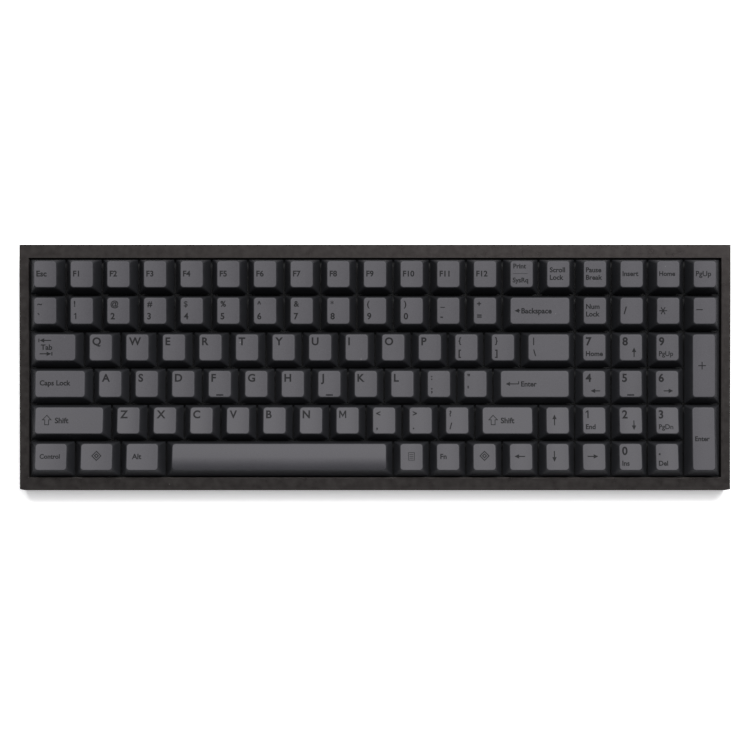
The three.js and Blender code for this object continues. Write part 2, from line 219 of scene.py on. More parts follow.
# %% The grain group
FLOAT, COLOUR, VECTOR = "NodeSocketFloat", "NodeSocketColor", "NodeSocketVector"
grain, given, result = new_group(
    "grain",
    [("Colour", COLOUR, (0.5, 0.5, 0.5, 1)), ("Size mm", FLOAT, 0.3), ("Depth mm", FLOAT, 0.01),
     ("Cloud", FLOAT, 0.1), ("Speckle", FLOAT, 0.1)],
    [("Colour", COLOUR), ("Roughness shift", FLOAT), ("Normal", VECTOR)],
)
where = put(grain, "ShaderNodeTexCoord").outputs["Object"]
per_metre = maths(grain, "DIVIDE", 1 / MM, given["Size mm"])
pits = put(grain, "ShaderNodeTexNoise", {"Vector": where, "Scale": per_metre, "Detail": 3.0,
                                         "Roughness": 0.6}).outputs["Fac"]
clouds = put(grain, "ShaderNodeTexNoise", {"Vector": where, "Scale": 38.0, "Detail": 4.0,
                                           "Roughness": 0.55}).outputs["Fac"]
depth = maths(grain, "MULTIPLY", given["Depth mm"], MM)
height = maths(grain, "MULTIPLY", pits, depth)
bump = put(grain, "ShaderNodeBump", {"Height": height, "Distance": 1.0, "Strength": 1.0})
cloud_swing = maths(grain, "SUBTRACT", clouds, 0.5)
cloud_part = maths(grain, "MULTIPLY", cloud_swing, given["Cloud"])
speck_swing = maths(grain, "SUBTRACT", pits, 0.5)
speck_part = maths(grain, "MULTIPLY", speck_swing, given["Speckle"])
both = maths(grain, "ADD", cloud_part, speck_part)
factor = maths(grain, "ADD", both, 1.0)
grey = put(grain, "ShaderNodeCombineColor", {0: factor, 1: factor, 2: factor}).outputs[0]
tinted = put(grain, "ShaderNodeMix", {0: 1.0, 6: given["Colour"], 7: grey}, data_type="RGBA",
             blend_type="MULTIPLY").outputs[2]
grain.links.new(tinted, result["Colour"])
grain.links.new(both, result["Roughness shift"])
grain.links.new(bump.outputs["Normal"], result["Normal"])
print("grain group:", len(grain.nodes), "nodes")

# %% [markdown]
# ### Worn and lit rims
# Fingers polish a cap's rim and a frame's edges first. The paler colour on the rims is partly that wear
# and partly a painted highlight, the line of light that a rounded rim catches. The builder functions
# below write how near the rim each vertex is as an attribute, and this group mixes the paler colour in
# by it, broken up by a noise so that the line isn't drawn with a ruler.

# %% The rim group
rim_wear_and_highlight, given, result = new_group(
    "rim_wear_and_highlight",
    [("Colour", COLOUR, (0.5, 0.5, 0.5, 1)), ("Worn and lit colour", COLOUR, (0.8, 0.8, 0.8, 1)),
     ("Amount", FLOAT, 0.5), ("Sharpness", FLOAT, 3)],
    [("Colour", COLOUR)],
)
rim = put(rim_wear_and_highlight, "ShaderNodeAttribute", attribute_name="rim").outputs["Fac"]
near = maths(rim_wear_and_highlight, "POWER", rim, given["Sharpness"])
where = put(rim_wear_and_highlight, "ShaderNodeTexCoord").outputs["Object"]
patches = put(rim_wear_and_highlight, "ShaderNodeTexNoise", {"Vector": where, "Scale": 260.0,
                                               "Detail": 3.0}).outputs["Fac"]
broken = put(rim_wear_and_highlight, "ShaderNodeMapRange", {0: patches, 1: 0.3, 2: 0.7, 3: 0.45, 4: 1.0}).outputs[0]
patchy = maths(rim_wear_and_highlight, "MULTIPLY", near, broken)
mask = maths(rim_wear_and_highlight, "MULTIPLY", patchy, given["Amount"], use_clamp=True)
# Wear and painted highlight: the paler colour mixed in along the rims.
mixed = put(rim_wear_and_highlight, "ShaderNodeMix", {0: mask, 6: given["Colour"], 7: given["Worn and lit colour"]},
            data_type="RGBA").outputs[2]
rim_wear_and_highlight.links.new(mixed, result["Colour"])
print("rim group:", len(rim_wear_and_highlight.nodes), "nodes")

# %% [markdown]
# ### Dust
# A dark matt surface never stays clean. A few pale specks lie on whatever faces up, and nothing lies
# on the walls. A cell noise gives each speck its own place, and the up direction of the surface keeps
# it off the rest.

# %% The dust group
dust, given, result = new_group(
    "dust",
    [("Colour", COLOUR, (0.5, 0.5, 0.5, 1)), ("Amount", FLOAT, 0.3)],
    [("Colour", COLOUR)],
)
where = put(dust, "ShaderNodeTexCoord").outputs["Object"]
cells = put(dust, "ShaderNodeTexVoronoi", {"Vector": where, "Scale": 70.0, "Randomness": 1.0})
speck = put(dust, "ShaderNodeMapRange", {0: cells.outputs["Distance"], 1: 0.012, 2: 0.024, 3: 1.0,
                                         4: 0.0}).outputs[0]
surface = put(dust, "ShaderNodeNewGeometry").outputs["Normal"]
facing = put(dust, "ShaderNodeSeparateXYZ", {0: surface}).outputs[2]
upward = put(dust, "ShaderNodeMapRange", {0: facing, 1: 0.6, 2: 0.95}).outputs[0]
lying = maths(dust, "MULTIPLY", speck, upward)
some = maths(dust, "MULTIPLY", lying, given["Amount"])
dusted = put(dust, "ShaderNodeMix", {0: some, 6: given["Colour"], 7: (0.55, 0.55, 0.53, 1)},
             data_type="RGBA").outputs[2]
dust.links.new(dusted, result["Colour"])
print("dust group:", len(dust.nodes), "nodes")

# %% [markdown]
# ## The finishes
# Each finish is a Principled shader whose plain numbers sit on its own sockets. The groups above feed
# only its colour, roughness and normal. The colour numbers are linear light, not screen values.

# %% One finish
def finish_of(name, colour, roughness, metallic=0.0, size=0.3, depth=0.01, cloud=0.15, speckle=0.15,
              painted_top_colour=None, worn_and_lit_rim=None, wear_and_highlight=0.5, dust_amount=0.2, uneven=0.4, specular=0.5,
              top_specular=0.5, tint=(1, 1, 1)):
    """A material with grain, rims paled by wear and a painted highlight, and dust. Sizes are in
    millimetres. The top colour and top_specular are the colour and the gloss of the faces whose
    attribute "top" is 1; the split between that colour and the wall colour is painted light and shade."""
    material = bpy.data.materials.new(name)
    material.use_nodes = True
    tree = material.node_tree
    shader = tree.nodes["Principled BSDF"]
    base = put(tree, "ShaderNodeGroup", node_tree=grain)
    # Painted light and shade: faces whose "top" attribute is 1 get a colour and gloss of their own, for
    # how the light falls on tops and walls.
    if painted_top_colour:
        on_top = put(tree, "ShaderNodeAttribute", attribute_name="top").outputs["Fac"]
        light_and_shade_colour = put(tree, "ShaderNodeMix", {0: on_top, 6: (*colour, 1), 7: (*painted_top_colour, 1)}, data_type="RGBA")
        tree.links.new(light_and_shade_colour.outputs[2], base.inputs["Colour"])
        gloss = put(tree, "ShaderNodeMapRange", {0: on_top, 3: specular, 4: top_specular})
        tree.links.new(gloss.outputs[0], shader.inputs["Specular IOR Level"])
    for label, value in (("Colour", (*colour, 1)), ("Size mm", size), ("Depth mm", depth),
                         ("Cloud", cloud), ("Speckle", speckle)):
        base.inputs[label].default_value = value
    last = base.outputs["Colour"]
    # Rims: wear and a painted highlight, paler where a rounded edge catches the light.
    if worn_and_lit_rim:
        edge = put(tree, "ShaderNodeGroup", node_tree=rim_wear_and_highlight)
        tree.links.new(last, edge.inputs["Colour"])
        edge.inputs["Worn and lit colour"].default_value = (*worn_and_lit_rim, 1)
        edge.inputs["Amount"].default_value = wear_and_highlight
        last = edge.outputs["Colour"]
    if dust_amount:
        specks = put(tree, "ShaderNodeGroup", node_tree=dust)
        tree.links.new(last, specks.inputs["Colour"])
        specks.inputs["Amount"].default_value = dust_amount
        last = specks.outputs["Colour"]
    tree.links.new(last, shader.inputs["Base Color"])
    rough = put(tree, "ShaderNodeMath", {0: base.outputs["Roughness shift"], 1: uneven, 2: roughness},
                operation="MULTIPLY_ADD", use_clamp=True)
    tree.links.new(rough.outputs[0], shader.inputs["Roughness"])
    tree.links.new(base.outputs["Normal"], shader.inputs["Normal"])
    shader.inputs["Metallic"].default_value = metallic
    shader.inputs["Specular IOR Level"].default_value = specular
    shader.inputs["Specular Tint"].default_value = (*tint, 1)
    return material


# %% [markdown]
# The caps are a thick, slightly violet grey plastic with a dry, sandy surface, and their legends are
# dyed in, so they are darker but no glossier. The frame is anodised aluminium, matt and a little brown.
# Its dye layer is what shows, so the shader isn't metallic. On the caps and the frame, the faces marked
# "top" are glossier than the walls, and have a colour of their own. On the caps that is painted light
# and shade on one plastic: a paler top and a darker wall. On the frame it splits one anodised finish by
# how the light falls, into a near-black glossy top and a paler matt wall. The parts inside are black or
# plain, because they should be seen only as depth.

# %% All the finishes
# Painted light and shade: the caps are one plastic, and these two greys paint its tops lit and its walls
# in shade.
PAINTED_LIT_TOP_GREY = (0.0550, 0.0530, 0.0592)
PAINTED_SHADE_WALL_GREY = (0.015, 0.0155, 0.0175)
PAPER_GLOW = 0.34  # the paper lies on a light table
key_plastic = finish_of("key_plastic", PAINTED_SHADE_WALL_GREY, 0.55, size=0.4, depth=0.02, cloud=0.3, speckle=0.9,
                        painted_top_colour=PAINTED_LIT_TOP_GREY, worn_and_lit_rim=(0.10, 0.098, 0.108), wear_and_highlight=0.2, dust_amount=0.25,
                        specular=0.1, top_specular=0.3)
legend_dye = finish_of("legend_dye", (0.009, 0.009, 0.010), 0.6, size=0.24, depth=0.02, cloud=0.2,
                       dust_amount=0, specular=0.15)
# Painted light: one anodised finish split by how the light falls, a near-black top lit by its gloss and
# a paler wall with no gloss.
anodised = finish_of("anodised", (0.040, 0.0365, 0.0355), 0.25, size=0.16, depth=0.003,
                     cloud=0.06, speckle=0.2, painted_top_colour=(0.0030, 0.0024, 0.0022), worn_and_lit_rim=(0.05, 0.047, 0.045),
                     wear_and_highlight=0.4, dust_amount=0.15, uneven=0.08, specular=0.0, top_specular=0.45,
                     tint=(1, 0.87, 0.86))
plate_steel = finish_of("plate_steel", (0.012, 0.012, 0.013), 0.5, metallic=0.3, size=0.35, depth=0.02)
housing_plastic = finish_of("housing_plastic", (0.010, 0.010, 0.011), 0.42, size=0.3, depth=0.01)
laminate = finish_of("laminate", (0.008, 0.014, 0.011), 0.35, size=0.6, depth=0.02, dust_amount=0)
plated_steel = finish_of("plated_steel", (0.42, 0.42, 0.44), 0.28, metallic=1.0, size=0.5, depth=0.004,
                         cloud=0.1, speckle=0.05, dust_amount=0, worn_and_lit_rim=(0.6, 0.6, 0.62))
rubber = finish_of("rubber", (0.010, 0.010, 0.010), 0.85, size=0.5, depth=0.03, speckle=0.3,
                   worn_and_lit_rim=(0.03, 0.03, 0.03), wear_and_highlight=0.6, dust_amount=0.5)
screw_steel = finish_of("screw_steel", (0.045, 0.045, 0.05), 0.33, metallic=1.0, size=0.2, depth=0.006)
floor_paper = finish_of("floor_paper", (0.93, 0.93, 0.93), 0.9, size=1.2, depth=0.01, cloud=0.01,
                        speckle=0.01, dust_amount=0, specular=0.2)
paper = floor_paper.node_tree.nodes["Principled BSDF"]
paper.inputs["Emission Color"].default_value = (1, 0.99, 0.99, 1)
paper.inputs["Emission Strength"].default_value = PAPER_GLOW
floor_mesh.materials.append(floor_paper)
print("finishes:", len(bpy.data.materials))

# %% [markdown]
# ## Turning a mesh into a piece
# Every piece ends the same way: edges sharper than a set angle stay crisp, and large faces rule the
# shading so that a narrow bevel doesn't bend it. The piece then takes the place of its plain CAD
# solid and rides on its body.

# %% Finish a piece
CRISP = math.radians(38)


def finish_piece(name, bm, body, nodes, materials):
    """Turns the mesh into a named piece with its materials, in place of the nodes."""
    for face in bm.faces:
        face.smooth = True
    for edge in bm.edges:
        edge.smooth = edge.calc_face_angle(0) < CRISP
    mesh = bpy.data.meshes.new(name)
    bm.to_mesh(mesh)
    bm.free()
    for material in materials:
        mesh.materials.append(material)
    piece = bpy.data.objects.new(name, mesh)
    scene.collection.objects.link(piece)
    shading = piece.modifiers.new("weighted_normals", "WEIGHTED_NORMAL")
    shading.keep_sharp = True
    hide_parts(*nodes)
    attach(piece, body)


# %% [markdown]
# ## The layout
# The keys lie in six rows on a pitch of 19.05 mm. Each word is one key, with its width in units where
# it isn't 1, and two keys at the right are two rows tall. The rows' tops have different heights and
# tilts, which is what makes a row feel for the finger: the near rows lean back, the far ones are flat.

# %% Rows, banks and profiles
UNIT = 19.05
COLUMNS, LINES = 19, 6
FIELD_Y = -0.45  # the middle of the field, from the middle of the case
SKIRT_LEVEL = -0.3  # where the skirts end, from the frame's top
ROWS = [
    "esc f1 f2 f3 f4 f5 f6 f7 f8 f9 f10 f11 f12 print_screen scroll_lock pause insert home page_up",
    "grave 1 2 3 4 5 6 7 8 9 0 minus equals backspace:2 num_lock divide multiply subtract",
    "tab:1.5 q w e r t y u i o p left_bracket right_bracket backslash:1.5 num_7 num_8 num_9 add:1x2",
    "caps_lock:1.75 a s d f g h j k l semicolon quote enter:2.25 num_4 num_5 num_6",
    "left_shift:2.25 z x c v b n m comma period slash right_shift:1.75 up "
    "num_1 num_2 num_3 num_enter:1x2",
    "left_control:1.25 left_super:1.25 left_alt:1.25 space:6.25 menu fn right_super left down right "
    "num_0 num_delete",
]
BANKS = {
    "keys_function_row": ROWS[0].replace("esc ", ""),
    "keys_number_row": "grave 1 2 3 4 5 6 7 8 9 0 minus equals",
    "keys_punctuation": "left_bracket right_bracket backslash semicolon quote comma period slash",
    "keys_numpad": "num_lock divide multiply subtract num_7 num_8 num_9 add num_4 num_5 num_6 "
                   "num_1 num_2 num_3 num_enter num_0 num_delete",
}
PROFILES = [(9.8, 0), (9.8, 0), (7.45, 2.5), (6.55, 5), (7.35, 11.5), (7.35, 11.5)]  # mm, degrees
BODY_OF = {key: bank for bank, words in BANKS.items() for key in words.split()}


def lay_keys():
    """Every key as name, width and height in units, middle in millimetres on the deck, and row."""
    keys = []
    for row, words in enumerate(ROWS):
        left = 0
        for word in words.split():
            name, _, size = word.partition(":")
            width, _, height = (size or "1").partition("x")
            width, height = float(width), float(height or 1)
            x = (left + width / 2 - COLUMNS / 2) * UNIT
            y = FIELD_Y + (LINES / 2 - row - height / 2) * UNIT
            keys.append((name, width, height, x, y, row))
            left += width
    return keys


keys = lay_keys()
worst = 0
for name, width, height, x, y, row in keys:
    if name not in BODY_OF:
        low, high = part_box("key_" + name)
        worst = max(worst, abs((low.x + high.x) / 2 / MM - x))
print("keys:", len(keys), "largest sideways difference from the CAD:", round(worst, 4), "mm")

# %% [markdown]
# ## The cap
# A cap is a thin tapering cup, turned over. Its outline is a rounded rectangle at the skirt and a
# smaller, rounder one at the top, joined by a bridge. Cuts across the top let it sink into a
# shallow trough, which is where the fingertip rests. A narrow bevel rounds the rim, and the
# skirt's edge is folded in and up to make the hollow inside.

# %% The cap's dimensions
KEY_GAP, KEY_WALL, KEY_ROOF = 0.9, 1.3, 1.5
TAPER_SIDE, TAPER_END = 3.15, 2.1
TOP_SHIFT = 1.2  # how far the top lies behind the skirt, a little less than in the CAD
CORNER_SKIRT, CORNER_TOP, CORNER_STEPS = 0.6, 1.7, 4
DISH = 0.65
CROWN_FRONT, CROWN_BACK = 2.0, 0.5
TOP_CUTS = 9
RIM_ROUND = 0.42
RIM_BAND = 1.0
PAINTED_TOP_STOP = 0.6  # the share of the rim's rounding that the painted lit top colour stops short by
SPACE_PAINTED_SHADE = 0.6  # painted shade: how far the space bar's top colour darkens at its front edge, where the crown turns away from the light
SLIDER_WIDTH, SLIDER_DEPTH, SLIDER_DROP, SLIDER_ROUND = 5.6, 5.0, 4.4, 0.4


def key_surface(name, width, height, row):
    """The size of a cap's top and the height of its surface at x, y, in millimetres."""
    top, tilt = PROFILES[row]
    fall = math.tan(math.radians(tilt / height))
    half_width = (width * UNIT - KEY_GAP) / 2 - TAPER_SIDE
    half_depth = (height * UNIT - KEY_GAP) / 2 - TAPER_END

    def level(x, y):
        flat = top - (y - TOP_SHIFT) * fall
        if name == "space":
            share = (y - TOP_SHIFT) / half_depth
            return flat - (CROWN_BACK * share**2 if share > 0 else CROWN_FRONT * abs(share) ** 2.5)
        return flat - DISH * (1 - min(1, (x / half_width) ** 2))

    return half_width, half_depth, level


def rounded_face(bm, width, depth, corner, y, z):
    """A rectangle with rounded corners, as one face."""
    place = Matrix.Translation((0, y, z)) @ Matrix.Diagonal((width, depth, 1, 1))
    before = set(bm.faces)
    made = bmesh.ops.create_grid(bm, x_segments=1, y_segments=1, size=0.5, matrix=place)
    bmesh.ops.bevel(bm, geom=made["verts"], offset=corner, offset_type="OFFSET", segments=CORNER_STEPS,
                    profile=0.5, affect="VERTICES", material=-1)
    return next(face for face in bm.faces if face not in before)


def cut_across(bm, name, half_width, half_depth):
    """Cuts everything into strips along the top: across x, or across y for the space bar. The cuts
    keep to the straight part of the edges, clear of the points that draw the round corners."""
    along_y = name == "space"
    reach = (half_depth if along_y else half_width) - CORNER_TOP
    for i in range(TOP_CUTS):
        along = reach * (2 * i / (TOP_CUTS - 1) - 1)
        point = (0, TOP_SHIFT + along, 0) if along_y else (along, 0, 0)
        normal = (0, 1, 0) if along_y else (1, 0, 0)
        bmesh.ops.bisect_plane(bm, geom=bm.verts[:] + bm.edges[:] + bm.faces[:], dist=1e-5,
                               plane_co=point, plane_no=normal)


# %% [markdown]
# The rim attribute is 1 on the rounded rim and 0 on the rest of the cap. The inset ring keeps it from
# spreading over the whole top, and keeps the shading of the trough clean. The top attribute is 1 on the
# top and 0 on the walls, and picks a paler top colour and a darker wall colour, painted light and shade
# on one plastic. On the space bar it fades towards the typist, a painted shade where the front of the
# crown turns away from the light.

# %% Build a cap
def cap_shell(name, width, height, row):
    """The hollow cap with its skirt on z = 0, in millimetres, and its surface."""
    half_width, half_depth, level = key_surface(name, width, height, row)
    base_width, base_depth = width * UNIT - KEY_GAP, height * UNIT - KEY_GAP
    top = PROFILES[row][0]
    bm = bmesh.new()
    skirt = rounded_face(bm, base_width, base_depth, CORNER_SKIRT, 0, 0)
    roof = rounded_face(bm, 2 * half_width, 2 * half_depth, CORNER_TOP, TOP_SHIFT, top)
    loops = skirt.edges[:] + roof.edges[:]
    bmesh.ops.delete(bm, geom=[skirt], context="FACES_ONLY")
    bmesh.ops.bridge_loops(bm, edges=loops)
    cut_across(bm, name, half_width, half_depth)
    on_top = lambda face: all(v.co.z > top - 1e-4 for v in face.verts)
    rim_edges = [e for e in bm.edges if sum(on_top(f) for f in e.link_faces) == 1]
    roof_faces = [face for face in bm.faces if on_top(face)]
    bmesh.ops.inset_region(bm, faces=roof_faces, thickness=RIM_BAND, use_even_offset=True)
    rim = bm.verts.layers.float.new("rim")
    # Painted light and shade: this attribute gives the cap a paler top and darker walls.
    painted_top_share = bm.verts.layers.float.new("top")
    for vert in {v for face in bm.faces if on_top(face) for v in face.verts}:
        vert.co.z = level(vert.co.x, vert.co.y)
    for edge in rim_edges:
        for vert in edge.verts:
            vert[rim] = 1
    bmesh.ops.bevel(bm, geom=rim_edges, offset=RIM_ROUND, offset_type="OFFSET", segments=3, profile=0.5,
                    affect="EDGES", material=-1, clamp_overlap=True)
    for vert in bm.verts:  # the painted lit top colour ends where the rim turns down into the walls
        across = max(0, abs(vert.co.x) - half_width + CORNER_TOP)
        along = max(0, abs(vert.co.y - TOP_SHIFT) - half_depth + CORNER_TOP)
        inside = CORNER_TOP - math.hypot(across, along) > RIM_ROUND * PAINTED_TOP_STOP
        # Painted shade: on the space bar the top colour darkens towards the front.
        share = max(0, (TOP_SHIFT - vert.co.y) / half_depth) if name == "space" else 0
        vert[painted_top_share] = (1 - SPACE_PAINTED_SHADE * share) if inside else 0
    return bm, half_width, half_depth, level


def hollow_out(bm, width, height, row):
    """Folds the skirt's edge in and up to the ceiling, and closes it."""
    top, tilt = PROFILES[row]
    fall = math.tan(math.radians(tilt / height))
    base_width, base_depth = width * UNIT - KEY_GAP, height * UNIT - KEY_GAP
    ceiling = lambda y: top - (y - TOP_SHIFT) * fall - DISH - KEY_ROOF
    climbed = ceiling(0) / top
    hem = [edge for edge in bm.edges if edge.is_boundary]
    made = bmesh.ops.extrude_edge_only(bm, edges=hem)["geom"]
    ring = [g for g in made if isinstance(g, bmesh.types.BMVert)]
    inner = (base_width - 2 * KEY_WALL, base_depth - 2 * KEY_WALL)
    bmesh.ops.scale(bm, verts=ring, vec=(inner[0] / base_width, inner[1] / base_depth, 1))
    hem = [g for g in made if isinstance(g, bmesh.types.BMEdge) and g.is_boundary]
    made = bmesh.ops.extrude_edge_only(bm, edges=hem)["geom"]
    ring = [g for g in made if isinstance(g, bmesh.types.BMVert)]
    shrink = (1 - 2 * TAPER_SIDE * climbed / inner[0], 1 - 2 * TAPER_END * climbed / inner[1], 1)
    bmesh.ops.scale(bm, verts=ring, vec=shrink)
    bmesh.ops.translate(bm, verts=ring, vec=(0, TOP_SHIFT * climbed, 0))
    for vert in ring:
        vert.co.z = ceiling(vert.co.y)
    hem = [g for g in made if isinstance(g, bmesh.types.BMEdge) and g.is_boundary]
    bmesh.ops.edgeloop_fill(bm, edges=hem)
    bmesh.ops.recalc_face_normals(bm, faces=bm.faces)
    slider_top = ceiling(0) + KEY_ROOF / 2
    place = Matrix.Translation((0, 0, (slider_top - SLIDER_DROP) / 2)) @ Matrix.Diagonal(
        (SLIDER_WIDTH, SLIDER_DEPTH, slider_top + SLIDER_DROP, 1))
    slider = bmesh.ops.create_cube(bm, size=1, matrix=place)["verts"]
    upright = {e for v in slider for e in v.link_edges if abs(e.verts[0].co.z - e.verts[1].co.z) > 1}
    bmesh.ops.bevel(bm, geom=list(upright), offset=SLIDER_ROUND, offset_type="OFFSET", segments=2,
                    profile=0.5, affect="EDGES", material=-1)


# %% [markdown]
# ## The legends
# Dye-sublimated legends sink a few hundredths of a millimetre into the plastic. Here each is a very
# thin solid on the surface, cut into the same strips as the top and lowered onto it, so that it
# follows the trough. Words come from Blender's own plain typeface, and arrows and icons from a few
# beams, plates and outlines. All of these are drawn a millimetre thick, half of it below z = 0.

# %% Words
INK = 0.016  # above and below the surface
WORD_BOLD = 0.03
LIGHTER = {"*": 0.012, "$": 0.012, "PgUp": 0.02, "PgDn": 0.02}  # more makes outlines cross
CAPITAL = 0.7  # a capital's share of the type's size
SLIVER = 0.002  # edges shorter than this are merged


def draw_word(words, height, x, y):
    """A word whose capitals are height tall, with its left edge at x and its middle at y."""
    curve = bpy.data.curves.new("word", "FONT")
    curve.body, curve.size, curve.extrude = words, 1, 0.5
    curve.offset, curve.resolution_u = LIGHTER.get(words, WORD_BOLD), 4
    holder = bpy.data.objects.new("word", curve)
    mesh = bpy.data.meshes.new_from_object(holder)
    bpy.data.objects.remove(holder)
    bpy.data.curves.remove(curve)
    bm = bmesh.new()
    bm.from_mesh(mesh)
    bpy.data.meshes.remove(mesh)
    bmesh.ops.remove_doubles(bm, verts=bm.verts, dist=1e-5)
    left = min(v.co.x for v in bm.verts)
    size = height / CAPITAL
    bmesh.ops.translate(bm, verts=bm.verts, vec=(-left, -CAPITAL / 2, 0))
    bmesh.ops.scale(bm, verts=bm.verts, vec=(size, size, 1))
    bmesh.ops.translate(bm, verts=bm.verts, vec=(x, y, 0))
    return bm


# %% [markdown]
# Icons are kept to three shapes. A beam is a box between two corners, a plate is any flat outline
# filled in, and an outline is such a face inset by its own line width, with the middle removed. Each
# is made flat and then given its thickness, which keeps it closed.

# %% Icons
def thicken(bm):
    """Gives flat faces a thickness of 1, centred on z = 0, as closed solids."""
    bmesh.ops.recalc_face_normals(bm, faces=bm.faces)
    made = bmesh.ops.extrude_face_region(bm, geom=bm.faces[:], use_keep_orig=True)["geom"]
    raised = [g for g in made if isinstance(g, bmesh.types.BMVert)]
    bmesh.ops.translate(bm, verts=raised, vec=(0, 0, 1))
    bmesh.ops.translate(bm, verts=bm.verts, vec=(0, 0, -0.5))
    bmesh.ops.recalc_face_normals(bm, faces=bm.faces)
    return bm


def beam(bm, x0, y0, x1, y1):
    """A flat bar between two opposite corners."""
    place = Matrix.Translation(((x0 + x1) / 2, (y0 + y1) / 2, 0)) @ Matrix.Diagonal(
        (abs(x1 - x0), abs(y1 - y0), 1, 1))
    bmesh.ops.create_grid(bm, x_segments=1, y_segments=1, size=0.5, matrix=place)


def plate(bm, points):
    """A flat shape through the points, in triangles, so that it can be cut wherever it bends."""
    face = bm.faces.new([bm.verts.new((px, py, 0)) for px, py in points])
    face.normal_update()
    bmesh.ops.triangulate(bm, faces=[face])


def outline(bm, points, line):
    """The outline of a flat shape, line thick."""
    face = bm.faces.new([bm.verts.new((px, py, 0)) for px, py in points])
    face.normal_update()
    bmesh.ops.inset_individual(bm, faces=[face], thickness=line, use_even_offset=True)
    bmesh.ops.delete(bm, geom=[face], context="FACES")


ARROW_STROKE, ARROW_HEAD = 0.55, 2.4
ARROW_WIDTH = 0.48  # half the head's width, as a share of its length
STOP_GAP, STOP_HALF, STOP_ROOM = 0.1, 0.95, 0.8
STAR_HALF = 0.26
HAIRLINE_HALF, HAIRLINE_LENGTH = 0.1, 7.6


def arrow(length, turn, x, y, bar=False):
    """An arrow with a solid head that points along turn, in degrees, with a stop bar if wanted."""
    bm = bmesh.new()
    half, thin, wide = length / 2, ARROW_STROKE / 2, ARROW_HEAD * ARROW_WIDTH
    neck = half - ARROW_HEAD
    plate(bm, [(-half, -thin), (neck, -thin), (neck, -wide), (half, 0), (neck, wide), (neck, thin),
               (-half, thin)])
    if bar:
        beam(bm, half + STOP_GAP, -STOP_HALF, half + STOP_GAP + ARROW_STROKE, STOP_HALF)
    spin = Matrix.Rotation(math.radians(turn), 3, "Z")
    bmesh.ops.rotate(bm, verts=bm.verts, cent=(0, 0, 0), matrix=spin)
    bmesh.ops.translate(bm, verts=bm.verts, vec=(x, y, 0))
    return thicken(bm)


def return_arrow(x, y):
    """The bent arrow of the Enter key: down a short step, then to the left."""
    bm = bmesh.new()
    shape = [(3.4, -0.26), (-1.4, -0.26), (-1.4, -1.1), (-3.6, 0), (-1.4, 1.1), (-1.4, 0.26),
             (2.9, 0.26), (2.9, 1.4), (3.4, 1.4)]
    plate(bm, [(x + px, y + py) for px, py in shape])
    return thicken(bm)


def star(x, y, size, arms):
    """Bars through one point at equal angles: three make an asterisk, two a plus, one a minus."""
    bm = bmesh.new()
    thin, step, points = STAR_HALF, math.pi / arms, []
    for arm in range(2 * arms):
        turn = Matrix.Rotation(step * arm, 2)
        notch = thin / math.sin(step / 2) * Vector((math.cos(step / 2), math.sin(step / 2)))
        tip = ((size / 2, -thin), (size / 2, thin), notch)
        points += [turn @ Vector(p) + Vector((x, y)) for p in tip]
    plate(bm, points)
    return thicken(bm)


def numeral_one(height, x, y):
    """A one with a flag, because the typeface draws it as a bare stroke."""
    bm = bmesh.new()
    shape = [(0.22, 0), (0.39, 0), (0.39, 1), (0.22, 1), (0, 0.8), (0, 0.66), (0.22, 0.8)]
    plate(bm, [(x + px * height, y + (py - 0.5) * height) for px, py in shape])
    return thicken(bm)


def letter_m(height, x, y):
    """An M of plain strokes, because the typeface's own can't be made as bold as its neighbours."""
    bm = bmesh.new()
    shape = [(0, 0), (0.17, 0), (0.17, 0.62), (0.475, 0.12), (0.78, 0.62), (0.78, 0), (0.95, 0),
             (0.95, 1), (0.76, 1), (0.475, 0.45), (0.19, 1), (0, 1)]
    plate(bm, [(x + px * height, y + (py - 0.5) * height) for px, py in shape])
    return thicken(bm)


def shift_arrow(x, y, size):
    """A hollow arrow that points up."""
    bm = bmesh.new()
    shape = [(0, 1.1), (1, 0.05), (0.45, 0.05), (0.45, -0.9), (-0.45, -0.9), (-0.45, 0.05), (-1, 0.05)]
    outline(bm, [(x + px * size / 2, y + py * size / 2) for px, py in shape], 0.4)
    return thicken(bm)


def super_mark(x, y, size):
    """A plain symbol for the system key: a diamond in a diamond."""
    bm = bmesh.new()
    for part in (size / 2, size / 4):
        outline(bm, [(x, y - part), (x + part, y), (x, y + part), (x - part, y)], 0.5)
    return thicken(bm)


def menu_mark(x, y):
    """A list in a box."""
    bm = bmesh.new()
    outline(bm, [(x - 1.7, y - 2.1), (x + 1.7, y - 2.1), (x + 1.7, y + 2.1), (x - 1.7, y + 2.1)], 0.28)
    for step in (-1, 0, 1):
        beam(bm, x - 1.05, y + step * 0.95 - 0.14, x + 1.05, y + step * 0.95 + 0.14)
    return thicken(bm)


def thin_line(x, y):
    """The line between two words on one key, from x to the right."""
    bm = bmesh.new()
    beam(bm, x, y - HAIRLINE_HALF, x + HAIRLINE_LENGTH, y + HAIRLINE_HALF)
    return thicken(bm)


# %% [markdown]
# Each key has a list of marks. A mark is a word with its height and its place on the top: x is
# measured in millimetres from the top's left edge, and y as a share of its depth from the back.
# Icons have the same two places. One line each for the regular keys keeps the list short.

# %% What is printed on each key
LETTER_TALL, LETTER_PLACE = 3.9, (1.5, 0.27)
PAIR_X, PAIR_SIZES, PAIR_PLACES = 1.8, (2.9, 3.2), (0.24, 0.70)
DIGIT_TALL, DIGIT_PLACE = 4.1, (1.5, 0.27)
UNDER_TALL, UNDER_PLACE = 2.5, (1.5, 0.73)
F_TALL, F_PLACE = 2.9, (1.4, 0.48)

